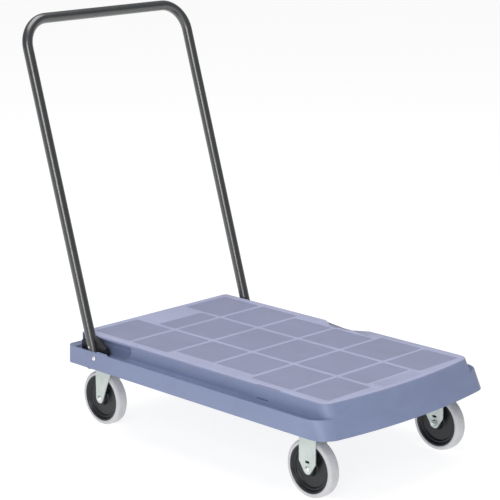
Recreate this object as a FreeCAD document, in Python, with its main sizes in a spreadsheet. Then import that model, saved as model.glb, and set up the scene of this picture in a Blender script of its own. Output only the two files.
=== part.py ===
import FreeCAD, Part
import math
import os
import re

import Sketcher

# Folding platform cart. +X runs from the handle end to the front, +Y is the left side, +Z is up.
# The origin is on the floor, under the middle of the whole cart with its handle up. Millimetres.

DIMENSIONS = (
    # deck moulding
    ("deck_half", "260", "half width over the skirt"),
    ("rear_end", "342", "skirt, behind the origin"),
    ("front_end", "495", "skirt, ahead of the origin on the centre line"),
    ("skirt_low", "149", "bottom edge of the skirt"),
    ("lip_top", "189", "top of the lip outside the gutters"),
    ("deck_top", "218", "top of the ribs that the load rests on"),
    ("front_rake", "32", "how far the front wall leans back over its height"),
    ("front_bow", "1300", "radius of the front wall in plan"),
    ("skirt_corner", "48", "front corner radius of the skirt"),
    ("rear_corner", "18", "rear corner radius of the skirt"),
    ("block_half", "230", "half width of the upper block at the gutters"),
    ("block_draft", "2", "how much narrower the upper block is at its top"),
    ("block_rear", "325", "rear face of the upper block, behind the origin"),
    ("block_corner", "30", "front corner radius of the upper block"),
    ("rim_round", "4", "rounding of the block's top edge"),
    ("wall", "5", "moulded wall"),
    ("top_plate", "6.5", "thickness of the deck's top"),
    ("gutter_floor", "178", "upper face of the gutter floor"),
    ("gutter_out", "255.5", "outer side of the gutter"),
    ("gutter_rear", "315.5", "rear end of the gutter, behind the origin"),
    ("hollow_low", "174", "underside of the gutter floor"),
    ("rib_low", "152", "bottom edge of the ribs under the deck"),
    ("rib", "3", "thickness of a rib under the deck"),
    ("rib_pitch_x", "74.4", "spacing of the cross ribs"),
    ("rib_pitch_y", "72", "spacing of the long ribs"),
    ("pad_low", "157", "face that the casters bolt to"),
    # sunken panels
    ("grid_first", "177", "first cross line, behind the origin"),
    ("grid_pitch", "127.3", "spacing of the cross lines"),
    ("grid_long", "72", "long lines, either side of the centre"),
    ("grid_line", "9", "width of a raised line"),
    ("panel_sink", "0.8", "depth of a panel"),
    ("panel_half", "206", "outer side of the side panels"),
    ("panel_narrow", "187", "outer side of the side panels beside the hand holds"),
    ("panel_rear", "304", "rear side of the rear panels"),
    ("panel_front", "432", "front side of the front panels"),
    ("panel_corner", "6", "corner radius of a panel"),
    # hand hold in the left edge
    ("hold_rear", "0", "rear end of the hand hold"),
    ("hold_front", "172", "front end of the hand hold"),
    ("hold_depth", "26", "depth of the hand hold"),
    # handle and its pivots
    ("pivot_x", "243.6", "handle pivot, behind the origin"),
    ("pivot_z", "175.5", "handle pivot, above the floor"),
    ("pivot_offset", "16", "leg centre line to pivot"),
    ("leg_y", "243", "leg centre line, from the middle of the cart"),
    ("leg_length", "780", "pivot level to grip bar, along the leg"),
    ("lean", "16.7", "lean of the handle behind upright, degrees"),
    ("tube_r", "12", "radius of the handle tube"),
    ("tube_wall", "1.5", "wall of the handle tube"),
    ("tube_start", "5.2", "lower end of the handle tube, along the leg from pivot level"),
    ("bend_r", "66", "bend radius of the handle tube"),
    ("foot_width", "24", "width of a handle foot at its bearing"),
    ("pivot_bolt_r", "4", "radius of a pivot bolt"),
    ("bush_r", "6", "outer radius of a pivot bush"),
    ("bush_inner", "231", "inner end of a pivot bush, from the middle of the cart"),
    ("bearing_inner", "225.5", "inner side of the wall that a pivot bolt is clamped to"),
    ("well_rear", "31", "well for a foot, behind the pivot"),
    ("well_front", "50", "well for a foot, ahead of the pivot"),
    ("block_y", "237", "stop block, from the middle of the cart"),
    ("block_width", "12", "width of a stop block"),
    ("block_screw_x", "54", "stop block's screw, behind the pivot"),
    ("block_screw_r", "2.5", "radius of a stop block's screw"),
    ("pocket_wall", "218", "inner side of the pocket beside a foot"),
    ("pocket_front", "151", "front end of that pocket, behind the origin"),
    ("hump_rise", "3", "height of the hump in the lip beside a foot"),
    ("catch_rear", "251", "rear end of the slits beside a catch"),
    ("catch_front", "315", "front end of the slit along the rim"),
    ("catch_mid", "283", "front end of the slot low in the block's side"),
    # wheels and casters
    ("wheel_r", "63.5", "radius of a tyre"),
    ("wheel_width", "27.6", "width of a tyre"),
    ("hub_r", "53.8", "radius of a wheel hub"),
    ("track", "201.2", "wheel centre, from the middle of the cart"),
    ("front_axle", "385.3", "axle of the rigid casters"),
    ("rear_axle", "277.3", "axle of the swivel casters, behind the origin"),
    ("king_x", "242", "kingpin of the swivel casters, behind the origin"),
    ("brake_x", "277", "brake lever's pin, behind the origin"),
    ("brake_z", "132.3", "brake lever's pin, above the floor"),
    ("brake_pin_r", "2", "radius of a brake lever's pin"),
    ("axle_r", "4", "radius of an axle bolt"),
    ("sleeve_r", "6", "outer radius of an axle sleeve"),
    ("fork_inner", "15", "wheel centre to the inner face of a fork leg"),
    ("fork_gauge", "3", "sheet thickness of a fork"),
    ("plate_long", "92", "caster plate along the cart"),
    ("plate_wide", "58", "caster plate across the cart"),
    ("hole_long", "73", "caster screws along the cart"),
    ("hole_wide", "42", "caster screws across the cart"),
    ("screw_r", "4", "radius of a caster screw"),
    ("ball_r", "3", "radius of a ball"),
    ("ball_pitch_r", "20.5", "pitch radius of the ring of balls"),
)

SIDES = {"left": 1, "right": -1}
RUNNING = 0.05
CLEAR = 0.3

doc = FreeCAD.newDocument("platform_cart")
sheet = doc.addObject("Spreadsheet::Sheet", "params")
for row, (alias, value, note) in enumerate(DIMENSIONS, start=1):
    sheet.set(f"A{row}", alias)
    sheet.set(f"B{row}", value)
    sheet.set(f"C{row}", note)
    sheet.setAlias(f"B{row}", alias)
doc.recompute()

nodes = []


def size(expression):
    """Value of an expression on the sheet's aliases."""
    return float(sheet.evalExpression(expression))


def bound(expression):
    """The same expression as another object writes it."""
    return re.sub(r"[a-z]\w*", r"params.\g<0>", expression)


def publish(item, label):
    """Name a finished sub-part after its node."""
    item.Label = label
    nodes.append(item)
    return item


# ---- helpers for Part Design bodies ----

def new_body(label):
    return publish(doc.addObject("PartDesign::Body", label), label)


def new_sketch(body, name, role="XY_Plane", offset="0"):
    plane = next(f for f in body.Origin.OriginFeatures if f.Role == role)
    sketch = body.newObject("Sketcher::SketchObject", f"{body.Name}_{name}")
    sketch.AttachmentSupport = [(plane, "")]
    sketch.MapMode = "FlatFace"
    sketch.setExpression("AttachmentOffset.Base.z", bound(offset))
    return sketch


def add_polygon(sketch, points):
    """Closed outline of straight edges, joined end to end."""
    first = sketch.GeometryCount
    count = len(points)
    for start, end in zip(points, points[1:] + points[:1]):
        sketch.addGeometry(Part.LineSegment(FreeCAD.Vector(*start), FreeCAD.Vector(*end)), False)
    for index in range(count):
        following = first + (index + 1) % count
        sketch.addConstraint(Sketcher.Constraint("Coincident", first + index, 2, following, 1))


def add_circle(sketch, x, y, radius):
    """Circle whose radius follows the sheet."""
    index = sketch.addGeometry(
        Part.Circle(FreeCAD.Vector(x, y), FreeCAD.Vector(0, 0, 1), size(radius)), False)
    constraint = sketch.addConstraint(Sketcher.Constraint("Radius", index, size(radius)))
    sketch.setExpression(f"Constraints[{constraint}]", bound(radius))


def add_wire(sketch, edges):
    for edge in edges:
        sketch.addGeometry(edge, False)


def rounded_box(x_low, x_high, y_low, y_high, radius):
    """Edges of a rectangle with round corners, in the sketch plane."""
    r = radius
    corners = ((x_high - r, y_high - r, 0), (x_low + r, y_high - r, 90),
               (x_low + r, y_low + r, 180), (x_high - r, y_low + r, 270))
    arcs = [Part.ArcOfCircle(Part.Circle(FreeCAD.Vector(x, y), FreeCAD.Vector(0, 0, 1), r),
                             math.radians(a), math.radians(a + 90)) for x, y, a in corners]
    lines = [Part.LineSegment(arcs[i].EndPoint, arcs[(i + 1) % 4].StartPoint) for i in range(4)]
    return [edge for pair in zip(arcs, lines) for edge in pair]


def add_feature(body, kind, name, **settings):
    feature = body.newObject(f"PartDesign::{kind}", f"{body.Name}_{name}")
    feature.Refine = False
    for key, value in settings.items():
        setattr(feature, key, value)
    body.Tip = feature
    return feature


def pad(body, name, sketch, length, both=False, reverse=False):
    feature = add_feature(body, "Pad", name, Profile=sketch, Reversed=reverse)
    if both:
        feature.SideType = "Symmetric"
    feature.setExpression("Length", bound(length))
    return feature


def pocket(body, name, sketch, length, both=False, reverse=False):
    """Pocket that must take material away."""
    doc.recompute()
    before = body.Tip.Shape.Volume
    feature = add_feature(body, "Pocket", name, Profile=sketch, Reversed=reverse)
    if both:
        feature.SideType = "Symmetric"
    feature.setExpression("Length", bound(length))
    doc.recompute()
    if feature.Shape.Volume > before - 1e-3:
        raise RuntimeError(f"{feature.Name} removes nothing")
    return feature


def turned(label, profile):
    """Body turned about its own Y axis from a profile of (along, radius) points."""
    body = new_body(label)
    sketch = new_sketch(body, "profile", "YZ_Plane")
    add_polygon(sketch, profile)
    add_feature(body, "Revolution", "turn", Profile=sketch, ReferenceAxis=(sketch, ["H_Axis"]), Angle=360)
    return body


def place(item, x, y, z):
    """Put a sub-part at a place that follows the sheet."""
    for axis, expression in zip("xyz", (x, y, z)):
        item.setExpression(f"Placement.Base.{axis}", bound(expression))


def solid(label, shape):
    """Sub-part whose shape is worked out directly."""
    item = doc.addObject("Part::Feature", label)
    item.Shape = shape
    item.Placement = FreeCAD.Placement()
    return publish(item, label)


# ---- deck ----

def deck_outline(front, half, rear, bow, front_r, rear_r):
    """Plan outline with round corners and a front edge that bows forward."""
    bow_x = front - bow
    corner_x = bow_x + math.sqrt((bow - front_r) ** 2 - (half - front_r) ** 2)
    corner_y = half - front_r
    lean = math.atan2(corner_y, corner_x - bow_x)
    up = FreeCAD.Vector(0, 0, 1)

    def arc(x, y, radius, start, end):
        return Part.ArcOfCircle(Part.Circle(FreeCAD.Vector(x, y), up, radius), start, end)

    quarter = math.pi / 2
    nose = arc(bow_x, 0, bow, -lean, lean)
    arcs = [nose,
            arc(corner_x, corner_y, front_r, lean, quarter),
            arc(rear + rear_r, half - rear_r, rear_r, quarter, 2 * quarter),
            arc(rear + rear_r, rear_r - half, rear_r, 2 * quarter, 3 * quarter),
            arc(corner_x, -corner_y, front_r, -quarter, -lean)]
    left = Part.LineSegment(arcs[1].EndPoint, arcs[2].StartPoint)
    back = Part.LineSegment(arcs[2].EndPoint, arcs[3].StartPoint)
    right = Part.LineSegment(arcs[3].EndPoint, arcs[4].StartPoint)
    return [arcs[0], arcs[1], left, arcs[2], back, arcs[3], right, arcs[4]]


def front_at(height):
    """Front of the deck on the centre line at a height."""
    rake = size("front_rake / (deck_top - skirt_low)")
    return size("front_end") - rake * (height - size("skirt_low"))


def deck_level(body, name, height, half, rear, front_r, rear_r, inset=0.0):
    sketch = new_sketch(body, name, "XY_Plane", height)
    front = front_at(size(height)) - inset
    add_wire(sketch, deck_outline(front, half, rear, size("front_bow"), front_r, rear_r))
    return sketch


def loft(body, kind, name, low, high):
    feature = add_feature(body, kind, name, Profile=low, Sections=[high])
    doc.recompute()
    return feature


def round_level(body, name, height, radius):
    """Round the edges of the body's last shape that lie at one height."""
    base = body.Tip
    level = size(height)
    picked = [f"Edge{k}" for k, edge in enumerate(base.Shape.Edges, start=1)
              if all(abs(vertex.Z - level) < 0.01 for vertex in edge.Vertexes)]
    feature = add_feature(body, "Fillet", name, Base=(base, picked))
    feature.setExpression("Radius", bound(radius))
    doc.recompute()


def side_boxes(body, name, role, offset, boxes, radius):
    """Sketch of rounded boxes given by their X range and distance range from the centre line."""
    sketch = new_sketch(body, name, role, offset)
    for x_low, x_high, near, far, sides in boxes:
        for side in sides:
            low, high = sorted((side * near, side * far))
            add_wire(sketch, rounded_box(x_low, x_high, low, high, radius))
    return sketch


def panel_boxes():
    """The three rows of sunken panels, with room left for a plain patch at each end."""
    gap = size("grid_line") / 2
    first = -size("grid_first")
    pitch = size("grid_pitch")
    lines = [first + pitch * k for k in range(5)]
    starts = [-size("panel_rear")] + [x + gap for x in lines]
    ends = [x - gap for x in lines] + [size("panel_front")]
    patch_rear = 66
    patch_front = 20
    boxes = []
    for k, (start, end) in enumerate(zip(starts, ends)):
        outer = size("panel_narrow") if k in (2, 3) else size("panel_half")
        boxes.append((start, end, size("grid_long") + gap, outer, (1, -1)))
        middle_start = start + patch_rear if k == 0 else start
        middle_end = end - patch_front if k == 5 else end
        width = size("grid_long") - gap
        boxes.append((middle_start, middle_end, -width, width, (1,)))
    return boxes


def gutter_outline(side):
    """Plan of a gutter: straight along the side, then narrowing to nothing round the front corner."""
    rear = -size("gutter_rear")
    outer = side * size("gutter_out")
    inner = side * (size("block_half") - 0.65)
    up = FreeCAD.Vector(0, 0, 1)

    def corner(x, edge, radius, end):
        """Arc from the straight side round to an angle ahead of the corner's centre."""
        circle = Part.Circle(FreeCAD.Vector(x, edge - side * radius), up, radius)
        first, last = sorted((side * math.radians(end), side * math.pi / 2))
        arc = Part.ArcOfCircle(circle, first, last)
        ends = (arc.EndPoint, arc.StartPoint)
        return (arc, *(ends if side > 0 else ends[::-1]))

    outer_arc, outer_side, outer_tip = corner(410.6, outer, 43, 11.5)
    inner_arc, inner_side, inner_tip = corner(430.7, inner, 30, 46)
    rear_outer = FreeCAD.Vector(rear, outer)
    rear_inner = FreeCAD.Vector(rear, inner)
    return [Part.LineSegment(rear_inner, inner_side), inner_arc, Part.LineSegment(inner_tip, outer_tip),
            outer_arc, Part.LineSegment(outer_side, rear_outer), Part.LineSegment(rear_outer, rear_inner)]


def make_deck():
    body = new_body("deck")
    half = size("deck_half")
    rear = -size("rear_end")
    wall = size("wall")
    block_half = size("block_half")
    block_rear = -size("block_rear")
    block_r = size("block_corner")
    low = deck_level(body, "skirt_low", "skirt_low", half, rear, size("skirt_corner"), size("rear_corner"))
    high = deck_level(body, "skirt_high", "lip_top", half - 1, rear + 1, size("skirt_corner"),
                      size("rear_corner"))
    loft(body, "AdditiveLoft", "skirt", low, high)
    low = deck_level(body, "block_low", "gutter_floor - 2", block_half, block_rear, block_r, 12)
    high = deck_level(body, "block_high", "deck_top", block_half - size("block_draft"), block_rear + 1,
                      block_r, 12)
    loft(body, "AdditiveLoft", "block", low, high)
    round_level(body, "rim_edge", "deck_top", "rim_round")
    # the hollow below: wide under the gutters, narrower above them
    low = deck_level(body, "hollow_low", "skirt_low", half - wall, rear + wall, 43, 13, wall)
    high = deck_level(body, "hollow_mid", "hollow_low", half - wall - 1, rear + wall + 1, 43, 13, wall)
    loft(body, "SubtractiveLoft", "low_hollow", low, high)
    low = deck_level(body, "hollow_upper", "hollow_low - 1", block_half - 6, block_rear + 6, 24, 6, 6)
    high = deck_level(body, "hollow_high", "deck_top - top_plate", block_half - 7.5, block_rear + 7, 24, 6, 6)
    loft(body, "SubtractiveLoft", "high_hollow", low, high)
    # material around the pockets beside the handle feet and behind the hand hold
    gutter_rear = -size("gutter_rear")
    pocket_front = -size("pocket_front")
    pocket_wall = size("pocket_wall")
    hold_rear = size("hold_rear")
    hold_front = size("hold_front")
    hold_wall = block_half - size("hold_depth")
    housings = side_boxes(body, "housings", "XY_Plane", "hollow_low", (
        (gutter_rear - wall, pocket_front + wall, pocket_wall - wall, block_half - 1, (1, -1)),
        (hold_rear - wall, hold_front + wall, hold_wall - wall - 4, block_half - 4, (1,))), 2)
    pad(body, "housing", housings, "deck_top - hollow_low - 2")
    # pads that the casters bolt to
    reach_x = size("plate_long") / 2 + 4
    across = size("plate_wide") / 2
    track = size("track")
    spots = [(x - reach_x, x + reach_x, track - across - 3, track + across, (1, -1))
             for x in (-size("king_x"), size("front_axle"))]
    pads = side_boxes(body, "pads", "XY_Plane", "pad_low", spots, 2)
    pad(body, "pad", pads, "7")
    # walls round the wells that the feet turn in
    pivot_x = -size("pivot_x")
    well_rear = pivot_x - size("well_rear")
    well_front = pivot_x + size("well_front")
    linings = side_boxes(body, "linings", "XY_Plane", "pad_low", (
        (well_rear - wall, well_front + wall, size("bearing_inner"), half - 3, (1, -1)),), 2)
    pad(body, "lining", linings, "gutter_floor - pad_low - 1")
    # gutters, pockets, foot wells and the hand hold
    gutters = new_sketch(body, "gutters", "XY_Plane", "lip_top + 1")
    for side in SIDES.values():
        add_wire(gutters, gutter_outline(side))
    pocket(body, "gutter", gutters, "lip_top + 1 - gutter_floor")
    floor = size("gutter_floor")
    for name, side in SIDES.items():
        side_pocket = new_sketch(body, f"side_pocket_{name}_shape", "XZ_Plane", f"{-side} * pocket_wall")
        add_polygon(side_pocket, [(gutter_rear, floor), (pocket_front - 17, floor), (pocket_front - 7, floor + 10),
                                  (pocket_front, floor + 28), (pocket_front - 1.5, floor + 32),
                                  (pocket_front - 6, floor + 34), (gutter_rear, floor + 34)])
        pocket(body, f"side_pocket_{name}", side_pocket, "20", reverse=side < 0)
    wells = side_boxes(body, "wells", "XY_Plane", "gutter_floor + 1", (
        (well_rear, well_front, block_half + 0.5, size("gutter_out"), (1, -1)),), 3)
    pocket(body, "well", wells, "gutter_floor + 2 - skirt_low")
    # slits round the catches in the block's sides, and the hump in the lip beside each foot
    rim_slits = side_boxes(body, "rim_slits", "XY_Plane", "deck_top + 1", (
        (size("catch_rear"), size("catch_front"), block_half - 5.2, block_half - 3.4, (1, -1)),), 0.8)
    pocket(body, "rim_slit", rim_slits, "8")
    for name, side in SIDES.items():
        slot = new_sketch(body, f"catch_{name}_shape", "XZ_Plane", f"{-side} * (block_half + 2)")
        add_wire(slot, rounded_box(size("catch_rear"), size("catch_mid"), floor + 9, floor + 13, 1))
        pocket(body, f"catch_{name}", slot, "12", reverse=side > 0)
        lip = size("lip_top")
        hump = new_sketch(body, f"hump_{name}_shape", "XZ_Plane", f"{-side} * (deck_half - 1.2)")
        add_polygon(hump, [(pivot_x + 2, lip - 4), (pivot_x + 10, lip + size("hump_rise")),
                           (pivot_x + 40, lip + size("hump_rise")), (pivot_x + 52, lip - 4)])
        pad(body, f"hump_{name}", hump, "deck_half - 1.2 - gutter_out", reverse=side < 0)
    hold = new_sketch(body, "hand_hold", "XY_Plane", "deck_top + 1")
    add_polygon(hold, [(hold_rear, block_half + 5), (hold_rear + 34, block_half - 14),
                       (hold_rear + 96, hold_wall), (hold_rear + 122, hold_wall),
                       (hold_front, block_half + 5)])
    pocket(body, "hold", hold, "deck_top + 1 - gutter_floor")
    # the panels
    panels = new_sketch(body, "panels", "XY_Plane", "deck_top")
    for x_low, x_high, y_low, y_high, sides in panel_boxes():
        for side in sides:
            low_y, high_y = sorted((side * y_low, side * y_high))
            add_wire(panels, rounded_box(x_low, x_high, low_y, high_y, size("panel_corner")))
    pocket(body, "panel", panels, "panel_sink")
    label = new_sketch(body, "label_shape", "XY_Plane", "deck_top")
    label_rear = size("panel_front") - 12
    add_wire(label, rounded_box(label_rear, label_rear + 30, -60, 66, 1.5))
    pocket(body, "label", label, "panel_sink / 2")
    # holes for the pivot bolts and the caster screws
    for name, side in SIDES.items():
        hole = new_sketch(body, f"pivot_hole_{name}_circle", "XZ_Plane", f"{-side} * (deck_half + 1)")
        add_circle(hole, pivot_x, size("pivot_z"), "pivot_bolt_r + 0.05")
        pocket(body, f"pivot_hole_{name}", hole, "deck_half + 2 - bearing_inner", reverse=side > 0)
    # ribs below the top
    rib = size("rib")
    rib_front = 436
    for name, low, rise, reach, last in (("low_rib", "rib_low", "hollow_low - rib_low + 3", 226, 3),
                                         ("high_rib", "hollow_low", "deck_top - hollow_low - 2", 200, 2)):
        start = (rear if last == 3 else block_rear) + 2
        long_ribs = new_sketch(body, name + "s_long", "XY_Plane", low)
        for k in range(-last, last + 1):
            y = k * size("rib_pitch_y")
            add_polygon(long_ribs, [(start, y - rib / 2), (rib_front, y - rib / 2), (rib_front, y + rib / 2),
                                    (start, y + rib / 2)])
        pad(body, name + "_long", long_ribs, rise)
        cross_ribs = new_sketch(body, name + "s_cross", "XY_Plane", low)
        for k in range(11):
            x = -310 + k * size("rib_pitch_x")
            add_polygon(cross_ribs, [(x, -reach), (x + rib, -reach), (x + rib, reach), (x, reach)])
        pad(body, name + "_cross", cross_ribs, rise)
    recess = side_boxes(body, "recesses", "XY_Plane", "pad_low", spots, 2)
    pocket(body, "recess", recess, "pad_low - skirt_low + 1")
    nut_wells = side_boxes(body, "nut_wells", "XY_Plane", "gutter_floor + 1", (
        (pivot_x - 11, pivot_x + 11, pocket_wall, size("bearing_inner"), (1, -1)),), 1)
    pocket(body, "nut_well", nut_wells, "gutter_floor + 1 - pad_low - 9")
    screw_holes = new_sketch(body, "screw_holes", "XY_Plane", "pad_low")
    for x, y in caster_screw_spots():
        add_circle(screw_holes, x, y, "screw_r + 0.05")
    pocket(body, "screw_hole", screw_holes, "14", reverse=True)
    block_holes = new_sketch(body, "block_holes", "XY_Plane", "gutter_floor")
    for side in SIDES.values():
        add_circle(block_holes, pivot_x - size("block_screw_x"), side * size("block_y"), "block_screw_r + 0.05")
    pocket(body, "block_hole", block_holes, "8")
    body.Tip.Refine = True


def caster_screw_spots():
    """Places of the sixteen screws that hold the four casters."""
    spots = []
    for centre_x in (-size("king_x"), size("front_axle")):
        for side in SIDES.values():
            for dx in (-1, 1):
                for dy in (-1, 1):
                    spots.append((centre_x + dx * size("hole_long") / 2,
                                  side * size("track") + dy * size("hole_wide") / 2))
    return spots


# ---- handle ----

def leg_frame():
    """Pivot, foot of the leg's centre line beside it, unit vector up the leg and unit vector behind it."""
    lean = math.radians(size("lean"))
    along = FreeCAD.Vector(-math.sin(lean), 0, math.cos(lean))
    behind = FreeCAD.Vector(-math.cos(lean), 0, -math.sin(lean))
    pivot = FreeCAD.Vector(-size("pivot_x"), 0, size("pivot_z"))
    return pivot, pivot + behind * size("pivot_offset"), along, behind


def leg_cylinder(radius, start, end, side):
    _, base, along, _ = leg_frame()
    origin = base + along * start + FreeCAD.Vector(0, side * size("leg_y"), 0)
    return Part.makeCylinder(radius, end - start, origin, along)


def make_handle_tube():
    """U of round tube: two legs, two bends and the grip bar, swept with its bore left open."""
    _, base, along, _ = leg_frame()
    across = FreeCAD.Vector(0, 1, 0)
    leg_y = size("leg_y")
    bend = size("bend_r")
    straight = size("leg_length") - bend
    start = base - across * leg_y + along * size("tube_start")
    leg_top = base - across * leg_y + along * straight
    bar_start = base + along * size("leg_length") - across * (leg_y - bend)
    turn = bend * (1 - math.sqrt(0.5))
    middle = base + along * (size("leg_length") - turn) - across * (leg_y - turn)

    def mirrored(point):
        return FreeCAD.Vector(point.x, -point.y, point.z)

    path = Part.Wire([
        Part.LineSegment(start, leg_top).toShape(),
        Part.Arc(leg_top, middle, bar_start).toShape(),
        Part.LineSegment(bar_start, mirrored(bar_start)).toShape(),
        Part.Arc(mirrored(bar_start), mirrored(middle), mirrored(leg_top)).toShape(),
        Part.LineSegment(mirrored(leg_top), mirrored(start)).toShape(),
    ])
    tubes = []
    for radius in (size("tube_r"), size("tube_r - tube_wall")):
        ring = Part.Wire([Part.makeCircle(radius, start, along)])
        tubes.append(path.makePipeShell([ring], True, True))
    solid("handle_tube", tubes[0].cut(tubes[1]))


def foot_outlines():
    """Side views of a foot's bearing and of its gusset, as offsets from the pivot, with the handle up."""
    pivot, base, along, behind = leg_frame()
    r = size("tube_r")

    def leg_point(distance, back):
        spot = base + along * distance + behind * back - pivot
        return (spot.x, spot.z)

    bearing = [leg_point(11, 2 - r), (8, 12), (23, 10), (14, -9), (6, -13), (-6, -14),
               leg_point(-9, r), leg_point(5, r), leg_point(5, 2 - r)]
    gusset = [(-21.4, 43.1), (-11, 37.5), (2.7, 28.5), (19.9, 21.5), (23, 10), (14, -9), (0, -5),
              leg_point(5, 2 - r)]
    return bearing, gusset


def make_feet():
    """Moulded feet: a wide bearing, a narrow gusset in front of each leg and a spigot up its bore."""
    pivot, _, _, _ = leg_frame()
    width = size("foot_width")
    start = size("tube_start")

    def slab(outline, low, thickness):
        points = [FreeCAD.Vector(pivot.x + x, low, pivot.z + z) for x, z in outline]
        return Part.Face(Part.makePolygon(points + points[:1])).extrude(FreeCAD.Vector(0, thickness, 0))

    bearing, gusset = foot_outlines()
    for name, side in SIDES.items():
        low = side * size("leg_y") - width / 2
        block = slab(bearing, low, width)
        block = block.fuse(slab(gusset, low if side > 0 else low + width / 2, width / 2))
        block = block.cut(leg_cylinder(size("tube_r"), start, 90, side))
        block = block.fuse(leg_cylinder(size("tube_r - tube_wall") - 0.05, 1, 40, side))
        bore = Part.makeCylinder(size("bush_r") + RUNNING, width + 2,
                                 FreeCAD.Vector(pivot.x, low - 1, pivot.z), FreeCAD.Vector(0, 1, 0))
        foot = block.cut(bore).cut(rivet_cylinder(side, 2.55)).removeSplitter()
        solid(f"handle_foot_{name}", foot.Solids[0] if len(foot.Solids) == 1 else foot)


def rivet_cylinder(side, radius):
    _, base, along, _ = leg_frame()
    spot = base + along * 26
    length = 2 * size("tube_r")
    start = FreeCAD.Vector(spot.x, side * size("leg_y") - length / 2, spot.z)
    return Part.makeCylinder(radius, length, start, FreeCAD.Vector(0, 1, 0))


def make_foot_rivets():
    """Flush rivets through each tube end; the tube is drilled for them."""
    tube = next(item for item in nodes if item.Label == "handle_tube")
    drilled = tube.Shape
    for side in SIDES.values():
        drilled = drilled.cut(rivet_cylinder(side, 2.5))
    tube.Shape = drilled
    rivets = [rivet_cylinder(side, 2.5).common(leg_cylinder(size("tube_r"), size("tube_start"), 90, side))
              for side in SIDES.values()]
    solid("foot_rivets", Part.makeCompound(rivets))


def make_stop_blocks():
    """Blocks in the gutters that the legs lean back on, each with a countersunk screw."""
    pivot, base, along, behind = leg_frame()
    reach = size("tube_r") + CLEAR
    floor = size("gutter_floor")
    screw_x = pivot.x - size("block_screw_x")

    def front(height):
        distance = (height - base.z - behind.z * reach) / along.z
        return base.x + behind.x * reach + along.x * distance

    for name, side in SIDES.items():
        body = new_body(f"stop_block_{name}")
        sketch = new_sketch(body, "side", "XZ_Plane")
        top = 206
        block_end = pivot.x - 62
        add_polygon(sketch, [(front(floor), floor), (front(top), top), (block_end + 2, top - 0.8),
                             (block_end, top - 3), (block_end, floor)])
        pad(body, "block", sketch, "block_width", both=True)
        hole = new_sketch(body, "hole", "XY_Plane", "230")
        add_circle(hole, screw_x, 0, "block_screw_r + 0.05")
        pocket(body, "screw_hole", hole, "60")
        sink = new_sketch(body, "sink", "XY_Plane", "230")
        add_circle(sink, screw_x, 0, "4.2")
        pocket(body, "screw_seat", sink, "230 - gutter_floor - 12")
        place(body, "0", f"{side} * block_y", "0")
    screws = []
    for side in SIDES.values():
        y = side * size("block_y")
        shank = Part.makeCylinder(size("block_screw_r"), 12 + 6, FreeCAD.Vector(screw_x, y, floor - 6))
        head = Part.makeCylinder(3.9, 3, FreeCAD.Vector(screw_x, y, floor + 12))
        screws.append(shank.fuse(head).removeSplitter())
    solid("stop_block_screws", Part.makeCompound(screws))


def make_pivots():
    """Bolt, bush and lock nut at each side."""
    bolt_r = size("pivot_bolt_r")
    outer = size("deck_half")
    inner = size("bearing_inner")
    for name, side in SIDES.items():
        # turned about Y from the outside inwards: low round head, then the shank
        profile = [(outer + 3, 0), (outer + 2.6, 2.6), (outer + 1.4, 4.9), (outer + 0.05, 5.3),
                   (outer + 0.05, bolt_r), (inner - 7, bolt_r), (inner - 7, 0)]
        body = turned(f"pivot_bolt_{name}", [(side * y, r) for y, r in profile])
        place(body, "-pivot_x", "0", "pivot_z")
        bush_in = size("bush_inner")
        bush_out = size("gutter_out") - 0.5
        body = turned(f"pivot_bush_{name}", [
            (side * bush_in, bolt_r + RUNNING), (side * bush_out, bolt_r + RUNNING),
            (side * bush_out, size("bush_r")), (side * bush_in, size("bush_r"))])
        place(body, "-pivot_x", "0", "pivot_z")
    nuts = []
    for side in SIDES.values():
        start = FreeCAD.Vector(-size("pivot_x"), side * (inner - 0.1), size("pivot_z"))
        nuts.append(hex_nut(start, FreeCAD.Vector(0, -side, 0), 6.5, 6, bolt_r + RUNNING))
    solid("pivot_nuts", Part.makeCompound(nuts))


def hex_nut(start, direction, across_half, height, bore):
    """Six-sided nut standing on a point, with a plain bore."""
    ring = Part.makePolygon([start + turn_about(direction, across_half / math.cos(math.pi / 6), k * 60)
                             for k in range(7)])
    nut = Part.Face(ring).extrude(direction * height)
    return nut.cut(Part.makeCylinder(bore, height + 2, start - direction, direction))


def turn_about(direction, radius, degrees):
    """Vector square to a direction, turned about it."""
    square = direction.cross(FreeCAD.Vector(0, 0, 1))
    if square.Length < 0.5:
        square = FreeCAD.Vector(1, 0, 0)
    return FreeCAD.Rotation(direction, degrees).multVec(square.normalize() * radius)


# ---- wheels and casters ----

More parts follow.
